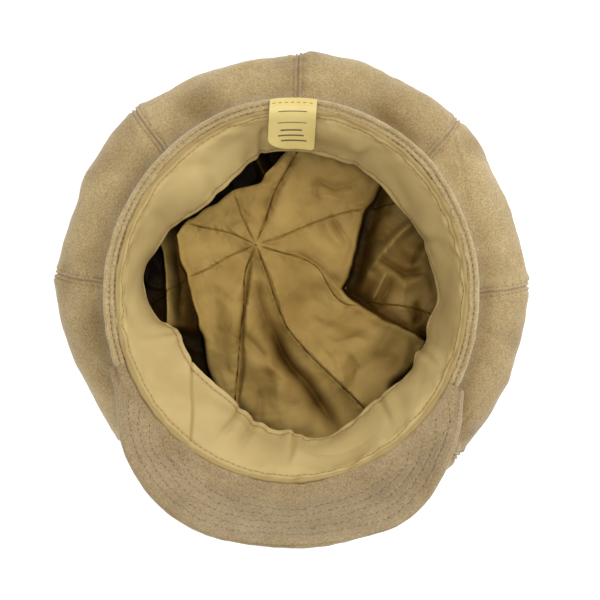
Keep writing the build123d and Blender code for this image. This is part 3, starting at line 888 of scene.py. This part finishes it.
# folds: (polyline, rise, width on its left, width on its right, fade at its ends, painted shade,
# minus darker and plus lighter)
LINING_FOLDS = [
    # column of cloth in the left gap, drawn lighter with painted light, and the valley between it and
    # the standing cloth, darkened with painted shade
    ([(-72, 32), (-67, 18), (-65, 8), (-64, -2), (-63, -12), (-62, -24)], 25, 9.0, 1.5, 0.1, 0.95),
    ([(-62, 22), (-60, 12), (-58, 2), (-58, -8), (-57, -18)], -6, 2.0, 2.0, 0.2, -0.3),
    ([(-76, -10), (-68, -16), (-62, -26), (-58, -36)], 9, 4.0, 4.0, 0.2, 0.12),
    # small fold in the top left gap
    ([(-25, 76), (-22, 68), (-19, 63), (-16, 56)], 13, 4.0, 1.8, 0.35, 0.42),
    # f runs along a ridge with a deep fold below it; the fold is darkened with painted shade
    ([(-20, 26), (-16, 19), (-10, 7), (-6, -4), (-2, -15), (4, -22), (10, -27), (20, -36),
      (28, -43), (36, -50), (44, -56)], 3.6, 6.0, 2.2, 0.1, 0.05),
    ([(-12, -10), (-7, -22), (-3, -30), (3, -38), (10, -44), (16, -52), (23, -62), (30, -72)],
     -12, 3.0, 4.6, 0.25, -0.6),
    ([(-20, 10), (-17, -2), (-13, -14), (-10, -26)], -4.5, 3.2, 4.5, 0.3, -0.3),
    ([(-26, -18), (-20, -24), (-14, -30), (-8, -36)], -2.4, 2.4, 3.4, 0.3, -0.12),
    # e lies in a sharp fold, darkened with painted shade
    ([(-22, 18), (-23, 4), (-24, -12), (-24, -26), (-23, -38), (-25, -58)], -3.0, 1.1, 1.4, 0.1,
     -0.35),
    ([(-28, 8), (-29, -14), (-29, -40), (-31, -62)], 2.4, 4.0, 7.0, 0.2, 0.03),
    # a
    ([(-17, 34), (-14, 43), (-11, 52), (-7, 60), (-2, 72)], -2.6, 1.6, 2.2, 0.15, -0.3),
    ([(-17, 40), (-14, 50), (-11, 58)], -2.0, 3.4, 1.4, 0.3, -0.15),
    # g: raised line from the apex, then the edge of the big lower panel
    ([(-6, 22), (4, 20), (12, 14), (20, 7), (30, -1)], 2.2, 1.6, 4.5, 0.15, 0.03),
    ([(-2, 24), (6, 21), (14, 16), (22, 9), (30, 1)], -1.6, 2.2, 0.9, 0.3, -0.22),
    # creases in the standing cloth
    ([(2, 55), (10, 59), (18, 56), (26, 58), (33, 63)], -2.6, 2.4, 1.6, 0.3, -0.2),
    ([(6, 49), (14, 52), (24, 50), (33, 54)], 1.8, 2.6, 2.6, 0.3, 0.05),
    ([(10, 60), (8, 53), (12, 47)], -1.6, 1.4, 1.8, 0.3, -0.12),
    ([(12, 42), (18, 33), (25, 24)], 2.0, 2.6, 2.6, 0.3, 0.04),
    ([(16, 44), (23, 34), (29, 26)], -1.8, 1.4, 2.0, 0.3, -0.14),
    ([(-14, -32), (-4, -40), (6, -46)], 2.2, 3.0, 3.0, 0.3, 0.06),
    ([(-4, -42), (-4, -54), (0, -66)], 2.4, 5.0, 4.0, 0.3, 0.05),
    ([(-14, -48), (-13, -58), (-12, -68)], -2.0, 3.0, 3.0, 0.3, -0.12),
    ([(16, -19), (24, -23), (34, -19), (44, -22)], -1.6, 1.6, 2.4, 0.35, -0.12),
    ([(29, -26), (36, -35), (34, -43)], -1.8, 1.2, 1.8, 0.3, -0.14),
    ([(10, -8), (24, -12), (40, -16), (60, -24)], 2.4, 6.0, 7.0, 0.35, 0.05),
    ([(24, -30), (28, -38), (30, -46)], 1.4, 2.0, 2.0, 0.3, 0.04),
    ([(52, -48), (59, -42), (66, -37), (72, -32)], -15, 3.6, 6.0, 0.3, -0.95),
    # shallow dents and swellings of the big panels
    ([(-40, 8), (-38, -10), (-35, -26)], -1.6, 5.0, 5.0, 0.4, -0.03),
    ([(-6, 44), (2, 40), (9, 33)], -1.4, 2.6, 3.4, 0.35, -0.1),
    ([(-2, 50), (4, 45), (12, 42)], 1.4, 3.0, 3.0, 0.35, 0.04),
    ([(-30, 44), (-24, 38), (-18, 36)], -1.2, 2.0, 2.6, 0.35, -0.1),
    ([(-44, 36), (-36, 34), (-28, 36)], -1.0, 2.4, 2.4, 0.35, -0.08),
    ([(8, 2), (16, -4), (24, -8)], -1.6, 3.4, 4.4, 0.35, -0.07),
    ([(12, -18), (18, -28), (26, -34)], -1.4, 2.6, 3.6, 0.35, -0.07),
    ([(-12, -36), (-8, -46), (-10, -56)], -1.6, 2.6, 3.4, 0.35, -0.1),
    ([(-34, -30), (-30, -42), (-28, -54)], -1.2, 3.0, 3.0, 0.35, -0.05),
    ([(40, -26), (50, -30), (60, -28)], -2.0, 3.0, 3.6, 0.35, -0.12),
    # right hollow
    ([(42, 60), (40, 45), (38, 36), (36, 26), (34, 14), (32, 4)], -5, 5.0, 4.0, 0.15, -0.1),
    ([(66, 46), (54, 36), (44, 24), (38, 14), (32, 2)], 6, 3.0, 4.0, 0.2, 0.22),
    ([(60, 46), (50, 37), (42, 27)], -3, 2.0, 3.0, 0.3, -0.15),
    ([(40, 24), (48, 20), (57, 15), (70, 17)], -5, 2.6, 1.8, 0.25, -0.3),
    ([(48, 17), (44, 6), (40, -3)], 5, 1.6, 3.6, 0.25, 0.2),
    ([(51, 16), (49, 6), (44, -4)], -3, 2.2, 1.4, 0.3, -0.22),
    ([(58, 13), (57, 3), (54, -8)], 3, 3.4, 4.0, 0.3, 0.12),
    ([(67, 34), (63, 25), (60, 18)], -3, 1.8, 2.2, 0.3, -0.25),
    ([(64, 3), (66, -6), (63, -13)], -3.5, 2.0, 2.6, 0.3, -0.3),
]  # fmt: skip


CREASE_POWER = 1.5


def smooth_noise(points, size, seed):
    """Flat-ground version of ripple, for points with only x and y."""
    ground = np.concatenate([points, np.zeros(points.shape[:-1] + (1,))], axis=-1)
    return ripple(bent(ground, size * 1.5, size * 0.25, seed + 3), size, seed)


def lining_relief(points):
    """Height of the bunched lining, its painted shade, and how near its cliff is."""
    x, y = points[..., 0], points[..., 1]
    edge = inside(points, PLATEAU)
    wavy = edge + 0.5 * smooth_noise(points, 18.0, 101)
    standing = smooth(wavy, -2.2, 0.3)
    seen = smooth(wavy, -0.5, 0.5)

    stand = 35.5 - 0.0022 * ((x + 18) ** 2 + (y - 24) ** 2)
    stand = np.maximum(stand, 19.0 + 3.0 * smooth(y, -60.0, -10.0))
    stand += 3.5 * bump(np.hypot(x - 8.0, y - 4.0), 26.0)
    stand += 5.0 * smooth(y, 46.0, 74.0)
    stand -= 7.0 * smooth(x + 0.4 * y, 34.0, 62.0) * smooth(-y, 6.0, 30.0)
    # deep ground round it, shallower at the right; painted shade set below makes it nearly black at
    # the left
    right = smooth(x, 22.0, 50.0) * smooth(y, -26.0, -8.0)
    ground = 3.0 + 14.0 * right
    ground += 5.0 * bump(np.hypot(x - 58.0, y - 16.0), 14.0)
    height = ground + (stand - ground) * standing
    # the cloth turns over at the edge, so its lip is a little proud
    height += 1.2 * bump(wavy - 1.6, 2.0)
    # painted shade: the low ground round the standing cloth is drawn dark, darkest at the left, and
    # the standing cloth in full light
    hollow = 0.07 + right * (0.36 + 0.3 * smooth(-edge, 1.0, 14.0))
    shade = hollow + (1.0 - hollow) * seen

    # each fold adds its rise and its painted shade; a plus value paints light on a ridge
    for line, rise, left, right_width, fade, tone in LINING_FOLDS:
        amount = fold(points, line, 1.0, left, right_width, fade, CREASE_POWER)
        height += rise * amount
        shade += tone * amount

    loose = 0.35 + 0.65 * smooth(-edge, -4.0, 4.0)
    height += 1.3 * smooth_noise(points, 34.0, 111)
    height += 0.6 * smooth_noise(points, 13.0, 121) * loose
    height += 0.06 * smooth_noise(points, 4.5, 141)
    # painted shade: soft uneven patches, and darker towards the lower right
    shade += 0.06 * smooth_noise(points, 20.0, 146)
    shade -= 0.25 * smooth(x, 46.0, 66.0) * smooth(-y, 8.0, 26.0)
    lowest = 2.4 + 4.5 * smooth(np.hypot(x, y - 4.0), 84.0, 97.0)
    return np.maximum(height, lowest), np.clip(shade, 0.03, 1.1), bump(wavy + 1.0, 3.0)


def lining_grid(shares, low_seam, high_seam, spread, seam_line_and_shade):
    """One lining panel and its painted shade: out from the apex between two seams, then up the wall
    to the band.
    """
    share, between = np.meshgrid(shares, spread, indexing="ij")
    flat = np.clip(share / LINING_SPREAD, 0.0, 1.0)
    apex = np.array(LINING_APEX)
    centre = np.array([0.0, 3.0])
    reach = np.full(share.shape, 60.0)
    for _ in range(4):
        low = curve(low_seam, np.minimum(reach * flat, 120.0))
        high = curve(high_seam, np.minimum(reach * flat, 120.0))
        angle = low + ((high - low) % 360.0) * between
        way = np.stack([np.cos(np.radians(angle)), np.sin(np.radians(angle))], axis=-1)
        shift = apex - centre
        onto = way @ shift
        reach = -onto + np.sqrt(onto**2 - shift @ shift + LINING_FLOOR_RADIUS**2)
    points = apex + way * (reach * flat)[..., None]
    height, shade, cliff = lining_relief(points)
    across = np.radians((high - low) % 360.0) * reach * flat
    to_seam = np.minimum(between, 1.0 - between) * across
    away = smooth(reach * flat, 1.0, 5.0) * (1.0 - cliff)
    height -= 0.9 * bump(to_seam, 0.5) * away
    puckers = smooth_noise(points, 5.0, 151)
    # seam lines: partly the seam's own darker line, partly painted shade in its groove
    line = bump(to_seam, 0.4) * (0.8 + 0.3 * puckers)
    shade = shade * (1.0 - np.where(between < 0.5, seam_line_and_shade[0], seam_line_and_shade[1]) * line * away)
    height += 0.3 * puckers * bump(to_seam, 2.8) * away

    world = points + np.array(RIM_CENTRE)
    turn = np.degrees(np.arctan2(points[..., 1], points[..., 0]))
    part = np.clip((share - LINING_SPREAD) / (1.0 - LINING_SPREAD), 0.0, 1.0)
    wall = curve(LINING_WALL, part)
    edge_radius = np.hypot(points[..., 0], points[..., 1])
    oval = 1.0 + (rim_radius(turn) / 93.0 - 1.0) * smooth(part, 0.3, 1.0)
    settle = 1.0 - smooth(part, 0.0, 0.5)
    radius = wall[..., 0] * oval
    radius = radius + (edge_radius - LINING_WALL[0][1]) * settle
    radius -= 1.2 * (1 + np.sin(np.radians(turn) * 30.0)) * smooth(part, 0.1, 0.4) * (part < 1.0)
    wall_height = wall[..., 1] + (height - LINING_WALL[0][2]) * settle
    flat_grid = np.concatenate([world, height[..., None]], axis=-1)
    wall_grid = around(RIM_CENTRE, radius, turn, wall_height)
    on_wall = share > LINING_SPREAD
    # painted shade on the wall that rises to the band
    shade = np.where(on_wall, np.minimum(shade, 0.3 + 0.3 * part), shade)
    return np.where(on_wall[..., None], wall_grid, flat_grid), shade


def build_lining(material):
    """Eight lining panels that meet at an apex off the crown's centre."""
    over_floor = np.linspace(0.003, LINING_SPREAD, 190)
    up_wall = np.linspace(LINING_SPREAD, 1.0, 34)[1:]
    shares = np.concatenate([over_floor, up_wall])
    spread = 0.5 - 0.5 * np.cos(np.linspace(0, math.pi, 84))
    # CAD lining panels are numbered from the back seam, anticlockwise
    for number in range(8):
        first, second = (number + 1) % 8, (number + 2) % 8
        low, high = LINING_SEAMS[first], LINING_SEAMS[second]
        seam_line_and_shade = (SEAM_LINE_AND_SHADE[first], SEAM_LINE_AND_SHADE[second])
        grid, shade = lining_grid(shares, low, high, spread, seam_line_and_shade)
        up = sign_towards(grid, 60, 40, UP)
        panel = cloth(f"lining_cloth_{number + 1}", grid, 0.2 * up, material)
        # painted shade for the lining's material, kept in the mesh
        keep_painted_shade(panel, shade)
        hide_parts(f"lining_panel_{number + 1}")
        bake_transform(panel)


# ---- label ----------------------------------------------------------------------
LABEL_X = -5.0
LABEL_HALF_WIDTH = 11.5
# down the label from its sewn end: (distance, inset from the rim's outside, height)
LABEL_PATH = [
    (0.0, 0.6, 73.0), (2.0, 2.5, 73.4), (5.0, 5.5, 73.9), (7.0, 7.5, 73.6), (9.0, 9.2, 72.7),
    (14.0, 13.0, 69.4), (20.0, 17.3, 65.3), (26.0, 21.4, 61.2), (32.0, 25.6, 57.2),
]  # fmt: skip
LABEL_LENGTH = 30.5
LABEL_CORNER = 11.0
LABEL_ROUNDING = 2.5
# bars in place of print: (distance down the label, left end, right end, thickness)
LABEL_BARS = [
    (6.5, -7.0, 7.0, 0.5), (13.0, -7.0, 7.0, 0.5), (17.4, -5.5, 5.0, 1.0),
    (20.8, -6.5, 6.0, 1.0), (24.2, -5.0, 7.5, 1.0),
]  # fmt: skip


def label_point(across, down, raised=0.0):
    """Point on the label's face; down is the distance from its sewn end."""
    path = curve(LABEL_PATH, np.clip(down, 0.0, 32.0))
    x = LABEL_X + across
    angle = 90.0 - np.degrees(np.arctan2(x, 90.0))
    radius = rim_radius(angle) - path[..., 0]
    grid = around(RIM_CENTRE, radius, angle, path[..., 1])
    grid[..., 0] = x
    grid[..., 1] = RIM_CENTRE[1] + np.sqrt(np.maximum(radius**2 - x**2, 0.0))
    loose = smooth(down, 6.0, 30.0)
    lift = 0.5 * np.cos(across / LABEL_HALF_WIDTH * 2.4) * smooth(down, 3.0, 16.0)
    lift += 0.35 * ripple(grid, 22.0, 161) * loose
    lift += 1.6 * smooth(down, 20.0, 31.0) * smooth(-across, 2.0, 11.0)
    grid[..., 2] += 1.1 + lift + raised
    return grid


def build_label(material, print_material, thread):
    """Sewn-in label with plain bars in place of any print."""
    across = np.linspace(-LABEL_HALF_WIDTH, LABEL_HALF_WIDTH, 50)
    downs = np.linspace(0.0, 1.0, 90)
    down, side = np.meshgrid(downs, across, indexing="ij")
    left = np.clip((-side - (LABEL_HALF_WIDTH - LABEL_CORNER)) / LABEL_CORNER, 0.0, 1.0)
    right = np.clip((side - (LABEL_HALF_WIDTH - LABEL_ROUNDING)) / LABEL_ROUNDING, 0.0, 1.0)
    cut = LABEL_CORNER * 0.8 * (1 - np.sqrt(1 - left**2 * 0.98))
    cut = cut + 2.0 * (1 - np.sqrt(1 - right**2 * 0.98))
    grid = label_point(side, down * (LABEL_LENGTH - cut))
    up = sign_towards(grid, 45, 25, UP)
    label = cloth("label_cloth", grid, 0.3 * up, material)
    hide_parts("label")
    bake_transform(label)

    for number, (place, low, high, tall) in enumerate(LABEL_BARS):
        side, down = np.meshgrid(np.linspace(low, high, 30), np.array([0.0, 0.5, 1.0]))
        bar = label_point(side, place + down * tall, 0.06)
        up = sign_towards(bar, 1, 15, UP)
        made = cloth(f"label_bar_{number + 1}", bar, 0.08 * up, print_material)
        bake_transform(made)

    path = label_point(np.linspace(-10.8, 10.8, 200), np.full(200, 2.4), 0.05)
    sewn = stitches("label_stitches", [(path, np.tile(UP, (200, 1)))], thread)
    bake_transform(sewn)


# ---- button and hidden layers ---------------------------------------------------
def build_button_cover(material):
    """Cloth pulled over the button's metal shell; the cap stands on it."""
    profile = [
        (0.03, 0.05), (3.0, 0.3), (6.0, 0.95), (8.3, 1.9), (9.6, 2.7), (10.0, 3.6), (9.8, 4.3),
        (9.35, 4.3), (9.25, 3.6), (8.6, 2.75), (6.0, 1.7), (3.0, 1.05), (0.03, 0.82),
    ]  # fmt: skip
    table = closed_profile(profile, 60)
    angles = np.linspace(0, 360, 120, endpoint=False)
    radius, angle = np.meshgrid(table[:, 0], angles, indexing="ij")
    height = np.repeat(table[:, 1][:, None], len(angles), axis=1)
    grid = around(CROWN_CENTRE, radius, angle, height)
    tucks = 0.1 * np.sin(np.radians(angle) * 18) * smooth(radius, 7.5, 9.5)
    grid = around(CROWN_CENTRE, radius + tucks, angle, np.maximum(height, 0.02))
    cover = ring("button_cloth", grid, material)
    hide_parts("button_cover")
    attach(cover, "crown")


def finish_cad_nodes(frame, finishes):
    """Materials for the CAD nodes that stay in sight."""
    for node, (material, slot) in finishes.items():
        shown = frame["nodes"][node]
        shown.data.materials.clear()
        shown.data.materials.append(material)


# ---- photo set-up ---------------------------------------------------------------
def point_at(thing, place, target):
    """Places a light and turns it towards a target that isn't straight below it."""
    look = np.array(target, float) - np.array(place, float)
    thing.location = place
    tilt = math.atan2(math.hypot(look[0], look[1]), -look[2])
    thing.rotation_euler = (tilt, 0.0, math.atan2(look[1], look[0]) - math.pi / 2)


def add_light(name, place, target, size, power):
    """Square soft light."""
    data = bpy.data.lights.new(name, "AREA")
    data.shape = "SQUARE"
    data.size = size
    data.energy = power
    made = bpy.data.objects.new(name, data)
    bpy.context.scene.collection.objects.link(made)
    point_at(made, place, target)


def build_camera():
    """Camera straight above the opening, turned as the photo's."""
    data = bpy.data.cameras.new("camera")
    data.lens = 117.0
    data.sensor_width = 36.0
    data.clip_start = 0.05
    data.clip_end = 20.0
    camera = bpy.data.objects.new("camera", data)
    bpy.context.scene.collection.objects.link(camera)
    camera.location = (0.0041, -0.0034, 1.022)
    camera.rotation_euler = (0.0, 0.0, math.radians(3.5))
    bpy.context.scene.camera = camera


def build_floor():
    """Plain pale floor."""
    material, _, _, shader = new_material("floor_white")
    shader.inputs["Base Color"].default_value = (0.92, 0.92, 0.92, 1.0)
    shader.inputs["Roughness"].default_value = 1.0
    shader.inputs["Specular IOR Level"].default_value = 0.0
    shader.inputs["Emission Color"].default_value = (1.0, 1.0, 1.0, 1.0)
    shader.inputs["Emission Strength"].default_value = 0.35
    half = 3.0
    corners = [(-half, -half, 0.0), (half, -half, 0.0), (half, half, 0.0), (-half, half, 0.0)]
    mesh = bpy.data.meshes.new("floor")
    mesh.from_pydata(corners, [], [(0, 1, 2, 3)])
    mesh.materials.append(material)
    floor = bpy.data.objects.new("floor", mesh)
    bpy.context.scene.collection.objects.link(floor)


def build_world(strength):
    """Even white surroundings."""
    world = bpy.data.worlds.new("studio")
    bpy.context.scene.world = world
    world.use_nodes = True
    background = world.node_tree.nodes["Background"]
    background.inputs["Color"].default_value = (1.0, 1.0, 1.0, 1.0)
    background.inputs["Strength"].default_value = strength


# ---- build ----------------------------------------------------------------------
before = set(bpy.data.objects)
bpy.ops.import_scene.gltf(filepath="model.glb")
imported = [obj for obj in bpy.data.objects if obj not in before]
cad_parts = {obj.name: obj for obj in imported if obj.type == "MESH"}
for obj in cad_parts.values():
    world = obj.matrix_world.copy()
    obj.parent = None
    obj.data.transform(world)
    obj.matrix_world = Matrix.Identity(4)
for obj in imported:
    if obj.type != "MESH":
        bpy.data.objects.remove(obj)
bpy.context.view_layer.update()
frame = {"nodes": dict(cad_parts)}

shell = suede("shell_suede", linear(168, 145, 99), linear(190, 168, 122))
# the crown, sweatband and lining materials multiply in painted shade kept in their meshes
crown_cloth = suede("crown_suede", linear(171, 148, 102), linear(193, 171, 126), painted_shade_on=True)
visor_cloth = suede("visor_suede", linear(148, 126, 89), linear(172, 151, 114))
shell_thread = plain("shell_thread", linear(112, 86, 52), 0.7)
band_cloth = cotton("sweatband_cotton", linear(176, 153, 101), linear(184, 162, 109), 0.65, 0.25,
                    painted_shade_on=True)  # fmt: skip
band_thread = plain("band_thread", linear(140, 112, 64), 0.6)
lining = cotton("lining_cotton", linear(136, 109, 55), linear(156, 129, 72), 0.6, 0.12, painted_shade_on=True)
satin = cotton("label_satin", linear(200, 178, 108), linear(208, 188, 120), 0.4, 0.4)
ink = plain("label_ink", linear(104, 92, 56), 0.6)
board_plastic = plain("visor_board", linear(225, 222, 210), 0.5)
metal = plain("button_metal", linear(190, 188, 182), 0.35, 1.0)
washer = plain("washer_plastic", linear(230, 228, 220), 0.45)
stiffening = cotton("interlining", linear(235, 232, 224), linear(242, 240, 232), 0.8, 0.2)
rubber = cotton("elastic", linear(228, 224, 214), linear(238, 235, 226), 0.7, 0.2)

build_crown(crown_cloth, shell_thread)
build_hem(shell, shell_thread)
build_sweatband(band_cloth, band_thread)
build_visor(visor_cloth, shell_thread, board_plastic)
build_lining(lining)
build_label(satin, ink, band_thread)
build_button_cover(shell)
hidden_ring("band_interlining_cloth", "band_interlining", "band", stiffening,
            -1.45, -1.95, 54.0, 64.5, np.linspace(0, 360, 420, endpoint=False), True)  # fmt: skip
hidden_ring("back_elastic_strip", "back_elastic", "band", rubber,
            -2.15, -2.9, 55.0, 63.0, np.linspace(68.5, 111.5, 90), False)  # fmt: skip
finish_cad_nodes(frame, {
    "button_shell": (metal, "button_metal"),
    "button_back": (metal, "button_metal"),
    "button_washer": (washer, "washer_plastic"),
})  # fmt: skip

build_floor()
build_world(0.78)
opening = (0.0, 0.0, 0.05)
add_light("key", (0.8, 0.72, 1.05), opening, 0.5, 7.4)
add_light("top", (0.05, 0.1, 1.9), opening, 1.2, 14.6)
build_camera()
bpy.context.scene.view_settings.view_transform = "Standard"
